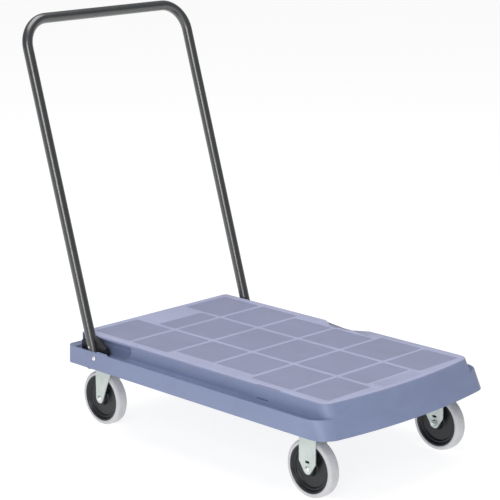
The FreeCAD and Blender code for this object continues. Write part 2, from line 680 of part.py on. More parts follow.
def make_wheel(label, x, side):
    """Hub, tyre, sleeve, axle bolt and nut about one axle."""
    centre = (x, f"{side} * track", "wheel_r")
    half = size("wheel_width") / 2
    hub_r = size("hub_r")
    tyre_r = size("wheel_r")
    web = 4.5
    boss = size("fork_inner") - 0.5
    bore = size("sleeve_r") + RUNNING
    profile = [(-boss, bore), (boss, bore), (boss, 13), (web, 15), (web, 40), (web + 4, 41),
               (half - 2, 49), (half - 0.5, 50), (half - 0.5, hub_r), (0.5 - half, hub_r),
               (0.5 - half, 50), (2 - half, 49), (-web - 4, 41), (-web, 40), (-web, 15), (-boss, 13)]
    place(turned(f"wheel_hub_{label}", profile), *centre)
    tread = [(-half, hub_r), (half, hub_r), (half, tyre_r - 4.5), (half - 1.5, tyre_r - 1.8),
             (half - 5, tyre_r - 0.3), (half - 9, tyre_r), (9 - half, tyre_r), (5 - half, tyre_r - 0.3),
             (1.5 - half, tyre_r - 1.8), (-half, tyre_r - 4.5)]
    place(turned(f"tyre_{label}", tread), *centre)
    axle = size("axle_r")
    inner = size("fork_inner")
    reach = inner + size("fork_gauge")
    sleeve = [(0.1 - inner, axle + RUNNING), (inner - 0.1, axle + RUNNING),
              (inner - 0.1, size("sleeve_r")), (0.1 - inner, size("sleeve_r"))]
    place(turned(f"axle_sleeve_{label}", sleeve), *centre)
    bolt = [(reach + 3.6, 0), (reach + 3.4, 3), (reach + 2.2, 5.2), (reach + 0.05, 6.2),
            (reach + 0.05, axle), (-reach - 8, axle), (-reach - 8, 0)]
    place(turned(f"axle_bolt_{label}", [(side * y, r) for y, r in bolt]), *centre)
    body = new_body(f"axle_nut_{label}")
    sketch = new_sketch(body, "hexagon", "XZ_Plane", f"{side} * (fork_inner + fork_gauge + 0.05)")
    corner = 6.5 / math.cos(math.pi / 6)
    add_polygon(sketch, [(corner * math.cos(math.radians(a)), corner * math.sin(math.radians(a)))
                         for a in range(0, 360, 60)])
    add_circle(sketch, 0, 0, f"axle_r + {RUNNING}")
    pad(body, "nut", sketch, "6", reverse=side < 0)
    place(body, *centre)


def leg_sheet(body, name, outline, side, slot=None, hole=None):
    """One leg of a fork, as a flat sheet beside the wheel."""
    start = "fork_inner" if side < 0 else "-fork_inner"
    sketch = new_sketch(body, name, "XZ_Plane", start)
    add_wire(sketch, outline)
    add_circle(sketch, 0, 0, f"axle_r + {RUNNING}")
    if slot:
        add_wire(sketch, slot)
    if hole:
        add_circle(sketch, *hole)
    return pad(body, name + "_sheet", sketch, "fork_gauge", reverse=side > 0)


def fork_outline(rear, front, shoulder, top):
    """Side view of a leg about its axle: round tip, tangent flanks and straight sides above."""
    tip = 11.5
    edges = []
    points = []
    for sign, (x, z) in ((1, (front, shoulder[0])), (-1, (rear, shoulder[1]))):
        reach = math.hypot(x, z)
        towards = math.atan2(z, x)
        touch = towards - sign * math.acos(tip / reach)
        points.append((tip * math.cos(touch), tip * math.sin(touch), touch))
    (fx, fz, fa), (rx, rz, ra) = points
    up = FreeCAD.Vector(0, 0, 1)
    edges.append(Part.ArcOfCircle(Part.Circle(FreeCAD.Vector(0, 0), up, tip), ra % (2 * math.pi),
                                  fa % (2 * math.pi) + (2 * math.pi if fa % (2 * math.pi) < ra % (2 * math.pi)
                                                        else 0)))
    chain = [(fx, fz), (front, shoulder[0]), (front, top), (rear, top), (rear, shoulder[1]), (rx, rz)]
    for start, end in zip(chain, chain[1:]):
        edges.append(Part.LineSegment(FreeCAD.Vector(*start), FreeCAD.Vector(*end)))
    return edges


def round_slot(x, z, half, radius):
    """Slot lying along X."""
    up = FreeCAD.Vector(0, 0, 1)
    right = Part.ArcOfCircle(Part.Circle(FreeCAD.Vector(x + half, z), up, radius), -math.pi / 2, math.pi / 2)
    left = Part.ArcOfCircle(Part.Circle(FreeCAD.Vector(x - half, z), up, radius), math.pi / 2, 3 * math.pi / 2)
    return [right, Part.LineSegment(right.EndPoint, left.StartPoint), left,
            Part.LineSegment(left.EndPoint, right.StartPoint)]


def make_rigid_fork(name, side):
    """Pressed fork: a plate under the deck with two legs."""
    body = new_body(f"rigid_fork_{name}")
    drop = size("pad_low - wheel_r")
    for leg_side in (1, -1):
        leg_sheet(body, "outer" if leg_side > 0 else "inner",
                  fork_outline(-23.5, 23.5, (15, 15), drop - 0.5), leg_side, round_slot(0, 15.5, 3.5, 2.6))
    sketch = new_sketch(body, "plate", "XY_Plane", "pad_low - wheel_r")
    long, wide = size("plate_long") / 2, size("plate_wide") / 2
    add_wire(sketch, rounded_box(-long, long, -wide, wide, 6))
    for dx in (-1, 1):
        for dy in (-1, 1):
            add_circle(sketch, dx * size("hole_long") / 2, dy * size("hole_wide") / 2, "screw_r + 0.3")
    pad(body, "plate_sheet", sketch, "fork_gauge", reverse=True)
    place(body, "front_axle", f"{side} * track", "wheel_r")


def make_swivel_caster(name, side):
    """Plate and upper race on the deck; lower race, balls and fork turn about the kingpin."""
    king = ("-king_x", f"{side} * track", "0")
    pad_low = size("pad_low")
    plate_low = pad_low - 3.5
    crown = 139.0
    gauge = size("fork_gauge")
    plate = new_body(f"caster_plate_{name}")
    sketch = new_sketch(plate, "plate", "XY_Plane", "pad_low")
    long, wide = size("plate_long") / 2, size("plate_wide") / 2
    add_wire(sketch, rounded_box(-long, long, -wide, wide, 6))
    for dx in (-1, 1):
        for dy in (-1, 1):
            add_circle(sketch, dx * size("hole_long") / 2, dy * size("hole_wide") / 2, "screw_r + 0.3")
    add_circle(sketch, 0, 0, "6.05")
    pad(plate, "sheet", sketch, "3.5", reverse=True)
    place(plate, *king)
    at = FreeCAD.Vector(-size("king_x"), side * size("track"), 0)

    def spun(points):
        ring = Part.makePolygon([at + FreeCAD.Vector(r, 0, z) for r, z in points + points[:1]])
        return Part.Face(ring).revolve(at, FreeCAD.Vector(0, 0, 1), 360)

    ball = size("ball_r")
    pitch = size("ball_pitch_r")
    ball_z = crown + 1.6 + ball + 0.05
    # upper race: a cup that turns down outside the balls
    solid(f"upper_race_{name}", spun([
        (6.05, ball_z + ball + CLEAR), (pitch + ball + 2.2, ball_z + ball + CLEAR),
        (pitch + ball + 2.2, ball_z - 2.2), (pitch + ball + 4, ball_z - 2.2),
        (pitch + ball + 4, plate_low), (6.05, plate_low)]))
    solid(f"lower_race_{name}", spun([
        (7, crown), (pitch + ball + 1.4, crown), (pitch + ball + 1.4, ball_z - 0.4),
        (pitch + ball + 0.1, ball_z - 0.4), (pitch + ball - 0.6, crown + 1.6), (7, crown + 1.6)]))
    count = 18
    balls = []
    for k in range(count):
        angle = 2 * math.pi * k / count
        balls.append(Part.makeSphere(ball, at + FreeCAD.Vector(pitch * math.cos(angle),
                                                               pitch * math.sin(angle), ball_z)))
    solid(f"race_balls_{name}", Part.makeCompound(balls))
    solid(f"kingpin_{name}", spun([
        (0, pad_low - 0.3), (6, pad_low - 0.3), (6, crown - gauge - 0.4), (10, crown - gauge - 0.4),
        (9, crown - gauge - 3.4), (0, crown - gauge - 3.9)]))
    fork = new_body(f"swivel_fork_{name}")
    back = size("rear_axle - king_x")
    pin = (size("rear_axle - brake_x"), size("brake_z - wheel_r"))
    for leg_side in (1, -1):
        leg_sheet(fork, "outer" if leg_side > 0 else "inner",
                  fork_outline(-11.5, 40, (66, 12), crown - size("wheel_r") - 0.5), leg_side,
                  hole=(*pin, "brake_pin_r + 0.05"))
    crown_sheet = new_sketch(fork, "crown", "XY_Plane", f"{crown} - wheel_r")
    reach = size("fork_inner + fork_gauge")
    add_wire(crown_sheet, rounded_box(-11.5, back + 26, -reach, reach, 4))
    add_circle(crown_sheet, back, 0, "6.08")
    pad(fork, "crown_sheet", crown_sheet, "fork_gauge", reverse=True)
    place(fork, "-rear_axle", f"{side} * track", "wheel_r")


def make_brake(name, side):
    """Foot lever that hangs on a pin through the fork and presses on the tyre."""
    half = size("fork_inner") - 0.5
    lever = new_body(f"brake_lever_{name}")
    hub = new_sketch(lever, "hub", "XZ_Plane")
    add_circle(hub, 0, 0, "3.2")
    pad(lever, "hub_tube", hub, f"{2 * half}", both=True)
    arm = new_sketch(lever, "arm", "XZ_Plane")
    add_polygon(arm, [(0, -3.1), (0, 3.1), (-18, 2.2), (-47, -3.2), (-50, -6), (-46, -8.5)])
    pad(lever, "arm_block", arm, f"{2 * half - 5}", both=True)
    bore = new_sketch(lever, "bore", "XZ_Plane")
    add_circle(bore, 0, 0, "brake_pin_r + 0.05")
    pocket(lever, "bore_hole", bore, "60", both=True)
    place(lever, "-brake_x", f"{side} * track", "brake_z")
    reach = size("fork_inner + fork_gauge")
    pin_r = size("brake_pin_r")
    head = [(reach + 1.5, 0), (reach + 1.3, 2.4), (reach + 0.05, 3.2), (reach + 0.05, pin_r)]
    far_head = [(-along, radius) for along, radius in reversed(head)]
    place(turned(f"brake_pin_{name}", head + far_head), "-brake_x", f"{side} * track", "brake_z")


def make_caster_screws():
    """Screws that hold the caster plates up against the deck."""
    screws = []
    for x, y in caster_screw_spots():
        under = size("pad_low") - (3.5 if x < 0 else size("fork_gauge"))
        shank = Part.makeCylinder(size("screw_r"), 16, FreeCAD.Vector(x, y, under - 0.1))
        head = hex_nut(FreeCAD.Vector(x, y, under - 0.05), FreeCAD.Vector(0, 0, -1), 6, 4.5, 0.5)
        core = Part.makeCylinder(0.6, 4.5, FreeCAD.Vector(x, y, under - 4.55))
        screws.append(shank.fuse(head).fuse(core).removeSplitter())
    solid("caster_screws", Part.makeCompound(screws))


make_deck()
make_handle_tube()
make_feet()
make_foot_rivets()
make_stop_blocks()
make_pivots()
for side_name, side_sign in SIDES.items():
    make_swivel_caster(side_name, side_sign)
    make_brake(side_name, side_sign)
    make_rigid_fork(side_name, side_sign)
    make_wheel(f"rear_{side_name}", "-rear_axle", side_sign)
    make_wheel(f"front_{side_name}", "front_axle", side_sign)
make_caster_screws()
doc.recompute()

for item in doc.Objects:
    if "Invalid" in item.State or "Error" in item.State:
        raise RuntimeError(f"{item.Label} failed: {item.State}")

os.makedirs("parts", exist_ok=True)
whole = FreeCAD.BoundBox()
for item in nodes:
    if item.Shape.isNull() or not item.Shape.isValid() or item.Shape.Volume <= 0:
        raise RuntimeError(f"{item.Label} is not a valid solid")
    whole.add(item.Shape.BoundBox)
    item.Shape.exportStep(f"parts/{item.Label}.step")
    print(f"{item.Label}: {len(item.Shape.Solids)} solid(s), {item.Shape.Volume / 1000:.1f} cm3")
print(f"{len(nodes)} nodes, box {whole}")
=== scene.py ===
"""Folding platform cart: the looks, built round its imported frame.

Every sub-assembly is a class whose fields are its sizes in metres. Every finish is a frozen
dataclass that lays out its own shader. main() builds the sub-assemblies in order.
"""

import logging
import math
from dataclasses import dataclass, field
from enum import Enum

import bmesh
import bpy
from mathutils import Matrix, Vector


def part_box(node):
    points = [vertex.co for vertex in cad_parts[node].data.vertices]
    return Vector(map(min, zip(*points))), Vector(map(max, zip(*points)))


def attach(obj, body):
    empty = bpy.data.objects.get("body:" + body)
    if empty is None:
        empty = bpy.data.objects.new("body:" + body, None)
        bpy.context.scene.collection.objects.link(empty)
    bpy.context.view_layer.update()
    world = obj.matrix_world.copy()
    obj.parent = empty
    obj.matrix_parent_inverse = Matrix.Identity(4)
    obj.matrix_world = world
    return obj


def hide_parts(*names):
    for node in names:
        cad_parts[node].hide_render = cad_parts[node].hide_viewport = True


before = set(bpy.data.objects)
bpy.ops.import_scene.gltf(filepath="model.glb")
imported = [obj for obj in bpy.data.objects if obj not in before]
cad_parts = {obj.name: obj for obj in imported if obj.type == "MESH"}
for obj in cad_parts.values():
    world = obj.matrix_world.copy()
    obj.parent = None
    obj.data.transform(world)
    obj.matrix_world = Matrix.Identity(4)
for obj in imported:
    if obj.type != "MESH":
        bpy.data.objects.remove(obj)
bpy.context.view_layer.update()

MM = 0.001
MERGE = 0.02 * MM               # corners of a frame part that are nearer than this are one corner
SEAM = 0.001 * MM               # the same for the closing seam of a turned or bent shape
FLAT = math.radians(0.4)        # faces that lean less than this are in one plane
AXLE = Vector((0, 1, 0))
UP = Vector((0, 0, 1))
SIDES: dict[str, int] = {"left": 1, "right": -1}
log = logging.getLogger("cart")


# ---------------------------------------------------------------- shader arithmetic

class Signal:
    """A socket in a material that can be added, multiplied and compared like a number."""

    def __init__(self, sheet: "ShaderSheet", socket: bpy.types.NodeSocket) -> None:
        """Keep the socket and the sheet that it is on.

        Args:
            sheet: the sheet that new nodes go on.
            socket: the output socket this stands for.
        """
        self.sheet = sheet
        self.socket = socket

    def _math(self, operation: str, first: "Signal | float", second: "Signal | float") -> "Signal":
        """Add one Math node.

        Args:
            operation: the node's operation.
            first: first value.
            second: second value.

        Returns:
            The node's result.
        """
        return self.sheet.node("ShaderNodeMath", {"operation": operation}, {0: first, 1: second})

    def __add__(self, other: "Signal | float") -> "Signal":
        """Sum."""
        return self._math("ADD", self, other)

    __radd__ = __add__

    def __sub__(self, other: "Signal | float") -> "Signal":
        """Difference."""
        return self._math("SUBTRACT", self, other)

    def __rsub__(self, other: float) -> "Signal":
        """Difference, the other way round."""
        return self._math("SUBTRACT", other, self)

    def __mul__(self, other: "Signal | float") -> "Signal":
        """Product."""
        return self._math("MULTIPLY", self, other)

    __rmul__ = __mul__

    def __pow__(self, other: float) -> "Signal":
        """Power."""
        return self._math("POWER", self, other)

    def ramp(self, low: float, high: float) -> "Signal":
        """Smooth step from 0 at low to 1 at high.

        Args:
            low: value that gives 0.
            high: value that gives 1.

        Returns:
            The stepped signal.
        """
        return self.sheet.node("ShaderNodeMapRange", {"interpolation_type": "SMOOTHSTEP"},
                               {"Value": self, "From Min": low, "From Max": high})


class ShaderSheet:
    """A material's node tree with one way to add a node."""

    def __init__(self, name: str) -> None:
        """Start a material with a Principled shader.

        Args:
            name: the material's name.
        """
        self.material = bpy.data.materials.new(name)
        self.material.use_nodes = True
        self.tree = self.material.node_tree
        self.shader = next(n for n in self.tree.nodes if n.type == "BSDF_PRINCIPLED")
        coordinates = self.tree.nodes.new("ShaderNodeTexCoord")
        self.place = Signal(self, coordinates.outputs["Object"])

    def node(self, kind: str, settings: dict, inputs: dict, output: int | str = 0) -> Signal:
        """Add any node.

        Args:
            kind: the node's type name.
            settings: the node's own properties, which are set first.
            inputs: value or signal for each input socket, by name or number.
            output: the output socket to return.

        Returns:
            The chosen output.
        """
        made = self.tree.nodes.new(kind)
        for key, value in settings.items():
            setattr(made, key, value)
        for key, value in inputs.items():
            self.feed(made.inputs[key], value)
        return Signal(self, made.outputs[output])

    def feed(self, socket: bpy.types.NodeSocket, value: "Signal | float | tuple") -> None:
        """Link a signal to a socket, or set the socket's own value.

        Args:
            socket: the input socket.
            value: the signal to link, or the value to set.
        """
        if isinstance(value, Signal):
            self.tree.links.new(value.socket, socket)
        else:
            socket.default_value = value

    def noise(self, scale: float, detail: float = 3.0, stretch: tuple = (1.0, 1.0, 1.0),
              rough: float = 0.5) -> Signal:
        """Noise from about 0 to 1.

        Args:
            scale: cells per metre.
            detail: octaves.
            stretch: scale of each axis.
            rough: weight of the finer octaves.

        Returns:
            The noise.
        """
        spot = self.node("ShaderNodeMapping", {}, {"Vector": self.place, "Scale": stretch})
        return self.node("ShaderNodeTexNoise", {}, {"Vector": spot, "Scale": scale, "Detail": detail,
                                                    "Roughness": rough})

    def blend(self, factor: "Signal | float", first: "Signal | tuple", second: "Signal | tuple") -> Signal:
        """Mix two colours.

        Args:
            factor: 0 for the first colour, 1 for the second.
            first: first colour.
            second: second colour.

        Returns:
            The mixed colour.
        """
        return self.node("ShaderNodeMix", {"data_type": "RGBA"}, {0: factor, 6: first, 7: second}, 2)

    def tint(self, colour: "Signal | tuple", amount: Signal) -> Signal:
        """Scale a colour's brightness by a signal that is about 1."""
        return self.node("ShaderNodeVectorMath", {"operation": "SCALE"}, {0: colour, "Scale": amount})

    def bump(self, height: Signal, distance: float, strength: float = 1.0) -> Signal:
        """Normal from a height.

        Args:
            height: height from 0 to 1.
            distance: real height of 1, in metres.
            strength: share of the effect.

        Returns:
            The bent normal.
        """
        return self.node("ShaderNodeBump", {}, {"Height": height, "Distance": distance, "Strength": strength})

    def axis(self, letter: str) -> Signal:
        """One coordinate of the place, in metres."""
        return self.node("ShaderNodeSeparateXYZ", {}, {0: self.place}, letter)

    def from_axle(self, axle_x: float, axle_z: float) -> Signal:
        """Distance from an axle that runs across the cart.

        Args:
            axle_x: the axle's place along the cart.
            axle_z: the axle's height.

        Returns:
            The distance, in metres.
        """
        along = self.axis("X") - axle_x
        above = self.axis("Z") - axle_z
        return (along * along + above * above) ** 0.5

    def finish(self, **sockets: "Signal | float | tuple") -> bpy.types.Material:
        """Feed the shader.

        Args:
            sockets: value or signal by socket name, with _ for a space.

        Returns:
            The finished material.
        """
        for name, value in sockets.items():
            self.feed(self.shader.inputs[name.replace("_", " ")], value)
        return self.material


# ---------------------------------------------------------------- finishes

@dataclass(frozen=True)
class DeckPlastic:
    """Structural foam plastic: pale raised lines, slightly darker grained panels, faint flow marks, and side
    walls darkened as painted shade.
    """

    flat: tuple = (0.283, 0.303, 0.446, 1.0)
    # darker copy of the deck's blue for its side walls: painted shade for the sides, which the lamps light
    # less than the top
    shaded_wall: tuple = (0.215, 0.258, 0.415, 1.0)
    raised: tuple = (0.425, 0.450, 0.640, 1.0)
    scuffed: tuple = (0.50, 0.52, 0.66, 1.0)
    shaded_wall_level: float = 0.2150
    panel_level: float = 0.21725
    line_level: float = 0.21785
    gloss: float = 0.36
    scuff_share: float = 0.16

    def material(self) -> bpy.types.Material:
        """Lay out the shader.

        Returns:
            The finished material.
        """
        sheet = ShaderSheet("deck_plastic")
        height = sheet.axis("Z")
        lifted = height.ramp(self.panel_level, self.line_level)
        flow = sheet.noise(scale=11.0, detail=5.0, stretch=(0.55, 1.0, 2.2), rough=0.62)
        cloud = sheet.noise(scale=34.0, detail=4.0, stretch=(1.0, 1.0, 1.6), rough=0.6)
        grain = sheet.noise(scale=820.0, detail=2.0)
        fine = sheet.noise(scale=2300.0, detail=1.0)
        scratch = sheet.noise(scale=70.0, detail=6.0, stretch=(0.25, 3.2, 1.0), rough=0.7).ramp(0.66, 0.80)
        # below the wall level the deck takes the darker copy: painted shade on its side walls
        colour = sheet.blend(height.ramp(self.shaded_wall_level, self.panel_level), self.shaded_wall, self.flat)
        colour = sheet.blend(lifted, colour, self.raised)
        colour = sheet.tint(colour, 0.84 + flow * 0.24 + cloud * 0.10)
        colour = sheet.blend(scratch * self.scuff_share, colour, self.scuffed)
        rough = self.gloss + flow * 0.14 + grain * 0.06 - lifted * 0.08
        relief = sheet.bump(grain * 0.7 + fine * 0.3, distance=0.00012, strength=0.55)
        return sheet.finish(Base_Color=colour, Roughness=rough, Normal=relief)


@dataclass(frozen=True)
class BlackPaint:
    """Gloss black enamel on a steel tube, with faint orange peel and a little dust."""

    black: tuple = (0.008, 0.010, 0.012, 1.0)
    dusty: tuple = (0.040, 0.046, 0.052, 1.0)
    gloss: float = 0.34
    enamel_ior: float = 1.6
    varnish: float = 0.9
    varnish_ior: float = 1.75
    varnish_gloss: float = 0.24

    def material(self) -> bpy.types.Material:
        """Lay out the shader.

        Returns:
            The finished material.
        """
        sheet = ShaderSheet("black_paint")
        dust = sheet.noise(scale=38.0, detail=6.0, stretch=(1.0, 1.0, 0.4), rough=0.65)
        peel = sheet.noise(scale=420.0, detail=2.0)
        nick = sheet.noise(scale=160.0, detail=3.0, stretch=(1.0, 1.0, 0.3)).ramp(0.70, 0.76)
        colour = sheet.blend(dust.ramp(0.40, 0.85) * 0.35 + nick * 0.4, self.black, self.dusty)
        rough = self.gloss + dust * 0.14 + nick * 0.2
        return sheet.finish(Base_Color=colour, Roughness=rough, IOR=self.enamel_ior, Coat_Weight=self.varnish,
                            Coat_IOR=self.varnish_ior, Coat_Roughness=self.varnish_gloss,
                            Normal=sheet.bump(peel, distance=0.00005, strength=0.5))


@dataclass(frozen=True)
class BlackMoulding:
    """Black plastic with moulded grain."""

    name: str = "black_moulding"
    black: tuple = (0.007, 0.008, 0.009, 1.0)
    worn: tuple = (0.024, 0.026, 0.029, 1.0)
    gloss: float = 0.36

    def material(self) -> bpy.types.Material:
        """Lay out the shader.

        Returns:
            The finished material.
        """
        sheet = ShaderSheet(self.name)
        cloud = sheet.noise(scale=55.0, detail=5.0, rough=0.6)
        grain = sheet.noise(scale=1500.0, detail=2.0)
        colour = sheet.blend(cloud.ramp(0.42, 0.80) * 0.5, self.black, self.worn)
        rough = self.gloss + cloud * 0.16 + grain * 0.08
        return sheet.finish(Base_Color=colour, Roughness=rough,
                            Normal=sheet.bump(grain, distance=0.00008, strength=0.5))


@dataclass(frozen=True)
class HubPlastic:
    """Charcoal wheel centre with faint turning rings and dust near its rim."""

    axle_x: float
    axle_z: float
    name: str
    black: tuple = (0.007, 0.009, 0.011, 1.0)
    dusty: tuple = (0.026, 0.031, 0.036, 1.0)
    gloss: float = 0.30
    ring_phase: float = 5200.0
    grime_from: float = 0.020
    grime_to: float = 0.046

    def material(self) -> bpy.types.Material:
        """Lay out the shader.

        Returns:
            The finished material.
        """
        sheet = ShaderSheet(self.name)
        radius = sheet.from_axle(self.axle_x, self.axle_z)
        cloud = sheet.noise(scale=60.0, detail=5.0, rough=0.6)
        rings = sheet.node("ShaderNodeMath", {"operation": "SINE"}, {0: radius * self.ring_phase})
        grime = radius.ramp(self.grime_from, self.grime_to) * cloud.ramp(0.35, 0.75)
        colour = sheet.blend(grime * 0.55, self.black, self.dusty)
        rough = self.gloss + cloud * 0.16
        return sheet.finish(Base_Color=colour, Roughness=rough,
                            Normal=sheet.bump(rings * 0.3 + cloud, distance=0.00008, strength=0.45))


@dataclass(frozen=True)
class GreyRubber:
    """Pale non-marking rubber, dirtier on its tread."""

    axle_x: float
    axle_z: float
    name: str
    clean: tuple = (0.600, 0.600, 0.625, 1.0)
    dirty: tuple = (0.380, 0.375, 0.370, 1.0)
    gloss: float = 0.52
    tread_from: float = 0.0605
    tread_to: float = 0.0634

    def material(self) -> bpy.types.Material:
        """Lay out the shader.

        Returns:
            The finished material.
        """
        sheet = ShaderSheet(self.name)
        radius = sheet.from_axle(self.axle_x, self.axle_z)
        cloud = sheet.noise(scale=42.0, detail=6.0, rough=0.65)
        speck = sheet.noise(scale=420.0, detail=3.0).ramp(0.62, 0.75)
        tread = radius.ramp(self.tread_from, self.tread_to)
        colour = sheet.blend(tread * cloud.ramp(0.40, 0.75) * 0.45 + speck * 0.12, self.clean, self.dirty)
        rough = self.gloss + cloud * 0.16 + tread * 0.08
        grain = sheet.noise(scale=900.0, detail=2.0)
        return sheet.finish(Base_Color=colour, Roughness=rough,
                            Normal=sheet.bump(grain, distance=0.00010, strength=0.5))


@dataclass(frozen=True)
class ZincPlate:
    """Pressed steel with pale zinc plating: soft spangle, rolling marks and a faint cool tint."""

    name: str = "zinc_plate"
    bright: tuple = (0.640, 0.700, 0.675, 1.0)
    dull: tuple = (0.450, 0.500, 0.470, 1.0)
    metal: float = 0.55
    gloss: float = 0.34

    def material(self) -> bpy.types.Material:
        """Lay out the shader.

        Returns:
            The finished material.
        """
        sheet = ShaderSheet(self.name)
        cloud = sheet.noise(scale=48.0, detail=5.0, stretch=(1.0, 1.0, 0.5), rough=0.6)
        rolled = sheet.noise(scale=620.0, detail=2.0, stretch=(1.0, 1.0, 0.06))
        colour = sheet.blend(cloud.ramp(0.35, 0.75) * 0.45 + rolled * 0.10, self.bright, self.dull)
        rough = self.gloss + cloud * 0.14 + rolled * 0.06
        return sheet.finish(Base_Color=colour, Metallic=self.metal, Roughness=rough,
                            Normal=sheet.bump(rolled, distance=0.00003, strength=0.5))


@dataclass(frozen=True)
class StudioFloor:
    """White light table: mostly lit from within, so that only the faintest shadows show."""

    pale: tuple = (0.26, 0.26, 0.26, 1.0)
    shade: tuple = (0.24, 0.24, 0.24, 1.0)
    glow: float = 0.86

    def material(self) -> bpy.types.Material:
        """Lay out the shader.

        Returns:
            The finished material.
        """
        sheet = ShaderSheet("pale_floor")
        colour = sheet.blend(sheet.noise(scale=1.5, detail=2.0), self.pale, self.shade)
        return sheet.finish(Base_Color=colour, Roughness=0.9, Emission_Color=(1.0, 1.0, 1.0, 1.0),
                            Emission_Strength=self.glow)


# ---------------------------------------------------------------- meshes

@dataclass
class Workpiece:
    """A mesh being worked on, and what it becomes."""

    name: str
    body: str
    slot: str
    mesh: bmesh.types.BMesh = field(default_factory=bmesh.new)

    def outline(self, points: list[Vector]) -> list:
        """Lay a closed chain of vertices and edges.

        Args:
            points: places, in order.

        Returns:
            The new vertices and edges.
        """
        spots = [self.mesh.verts.new(point) for point in points]
        return spots + [self.mesh.edges.new(pair) for pair in zip(spots, spots[1:] + spots[:1])]

    def turn(self, profile: list[tuple[float, float]], centre: Vector, steps: int) -> None:
        """Turn a closed profile about an axle that runs across the cart.

        Args:
            profile: (along the axle, radius) corners.
            centre: a point on the axle.
            steps: segments in the full turn.
        """
        chain = self.outline([centre + AXLE * along + UP * radius for along, radius in profile])
        bmesh.ops.spin(self.mesh, geom=chain, cent=centre, axis=AXLE, angle=2 * math.pi, steps=steps,
                       use_merge=True, use_duplicate=False)
        bmesh.ops.remove_doubles(self.mesh, verts=self.mesh.verts, dist=SEAM)

    def take(self, node: str, merge_flat: bool = True) -> None:
        """Start from a merged copy of a part of the frame.

        Args:
            node: the part's name.
            merge_flat: whether faces in one plane become one face.
        """
        self.mesh.from_mesh(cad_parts[node].data)
        bmesh.ops.remove_doubles(self.mesh, verts=self.mesh.verts, dist=MERGE)
        bmesh.ops.dissolve_degenerate(self.mesh, dist=MERGE, edges=self.mesh.edges)
        if merge_flat:
            bmesh.ops.dissolve_limit(self.mesh, angle_limit=FLAT, verts=self.mesh.verts,
                                     edges=self.mesh.edges)

    def done(self, material: bpy.types.Material, replaces: tuple[str, ...] = (), bevel: float = 0.0,
             segments: int = 2, crease: float = 32.0, weighted: bool = False) -> bpy.types.Object:
        """Args:
            material: its finish.
            replaces: parts of the frame that it stands for.
            bevel: width of the rounding of its edges.
            segments: segments of that rounding.
            crease: angle above which an edge is rounded, in degrees.
            weighted: whether large faces rule the shading at their edges.

        Returns:
            The finished object.
        """
        bmesh.ops.recalc_face_normals(self.mesh, faces=self.mesh.faces)
        data = bpy.data.meshes.new(self.name)
        self.mesh.to_mesh(data)
        self.mesh.free()
        data.shade_smooth()
        data.set_sharp_from_angle(angle=math.radians(crease))
        data.materials.append(material)
        thing = bpy.data.objects.new(self.name, data)
        bpy.context.scene.collection.objects.link(thing)
        if bevel:
            rounding = thing.modifiers.new("rounding", "BEVEL")
            rounding.width = bevel
            rounding.segments = segments
            rounding.limit_method = "ANGLE"
            rounding.angle_limit = math.radians(crease)
            rounding.use_clamp_overlap = False
            rounding.harden_normals = True
            rounding.miter_outer = "MITER_ARC"
        if weighted:
            leaning = thing.modifiers.new("leaning", "WEIGHTED_NORMAL")
            leaning.keep_sharp = True
            leaning.mode = "FACE_AREA"
            leaning.weight = 100
        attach(thing, self.body)
        if replaces:
            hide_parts(*replaces)
        log.info("built %s on %s", self.name, self.body)
        return thing


def mirrored(face: list[tuple[float, float]]) -> list[tuple[float, float]]:
    """One side's (along the axle, radius) corners, then the other side's in reverse."""
    return face + [(-along, radius) for along, radius in reversed(face)]


def centre_of(node: str) -> Vector:
    """Middle of a part's box at rest."""
    low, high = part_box(node)
    return (Vector(low) + Vector(high)) / 2


def dress(node: str, material: bpy.types.Material) -> None:
    """Give a part of the frame its finish.

    Args:
        node: the part's name.
        material: its finish.
    """
    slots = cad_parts[node].data.materials
    slots.clear()
    slots.append(material)


# ---------------------------------------------------------------- sub-assemblies

@dataclass
class Deck:
    """The moulded deck and the black blocks in its gutters."""

    block_edge: float = 1.0 * MM
    lip_level: float = 189.0 * MM
    lip_slack: float = 0.05 * MM
    lip_round: float = 2.2 * MM
    half: float = 257.5 * MM
    rear: float = 339.5 * MM
    corner: Vector = field(default_factory=lambda: Vector((410.6, 211.0)) * MM)
    corner_r: float = 45.5 * MM

    def build(self, plastic: bpy.types.Material, black: bpy.types.Material,
              steel: bpy.types.Material) -> None:
        """Build the deck.

        Args:
            plastic: the deck's finish.
            black: the stop blocks' finish.
            steel: the screws' finish.
        """
        shell = Workpiece("deck_moulding", "deck", "deck_plastic")
        shell.take("deck", merge_flat=False)
        rim = [edge for edge in shell.mesh.edges if all(self.on_lip(vert.co) for vert in edge.verts)]
        bmesh.ops.bevel(shell.mesh, geom=rim, offset=self.lip_round, segments=3, profile=0.5, affect="EDGES",
                        clamp_overlap=True)
        shell.done(plastic, ("deck",), weighted=True)
        for side in SIDES:
            block = Workpiece(f"stop_block_moulding_{side}", "deck", "black_plastic")
            block.take(f"stop_block_{side}")
            block.done(black, (f"stop_block_{side}",), bevel=self.block_edge, segments=3)
        dress("stop_block_screws", steel)

    def on_lip(self, spot: Vector) -> bool:
        """Whether a place is on the outer top edge of the lip.

        Args:
            spot: a corner of the deck's mesh.

        Returns:
            True on the rear and side edges and round the front corners.
        """
        if abs(spot.z - self.lip_level) > self.lip_slack:
            return False
        beyond = Vector((spot.x, abs(spot.y))) - self.corner
        if beyond.x > 0 and beyond.y > 0:
            return beyond.length > self.corner_r
        return abs(spot.y) > self.half or spot.x < -self.rear


